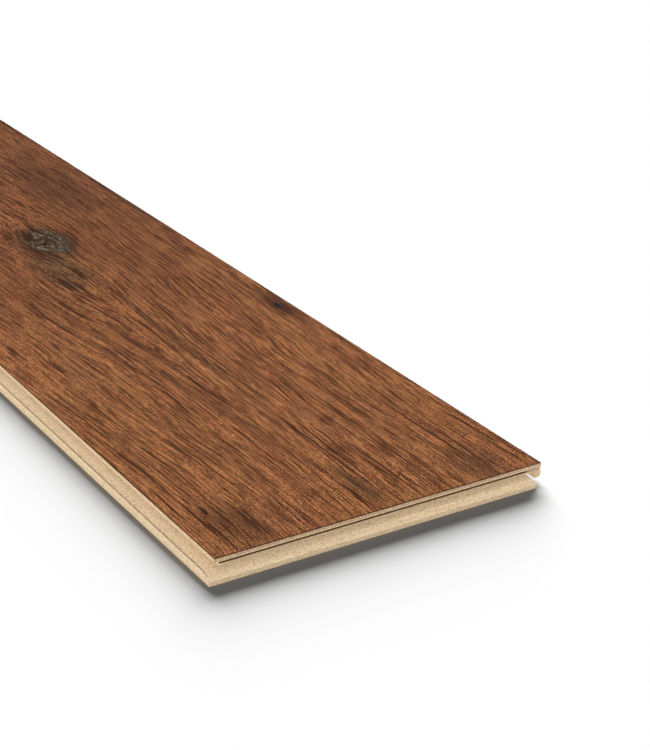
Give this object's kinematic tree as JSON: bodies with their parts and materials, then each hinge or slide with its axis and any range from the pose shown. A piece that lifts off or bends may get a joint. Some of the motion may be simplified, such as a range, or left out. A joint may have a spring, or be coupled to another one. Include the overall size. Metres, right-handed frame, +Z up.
{
  "type": "laminate floor plank",
  "caption": "Rectangular click-lock laminate floor plank: wood-print top layer on a fibreboard core, with a groove and locking lip on two sides and a tongue on the other two.",
  "frame": {"origin": "on the underside, below the middle of the visible face", "axes": "+X across the plank towards the tongue's long side, +Y along it towards the tongue's short side, +Z up out of the printed face"},
  "size_m": [0.2039, 1.2227, 0.012],
  "materials": {
    "fibreboard": "milled high density fibreboard, matt, finely speckled",
    "wood_print": "brown knotty wood print under a satin wear layer"
  },
  "bodies": {
    "root": {"hdf_core": "fibreboard", "decor_layer": "wood_print"}
  },
  "joints": []
}
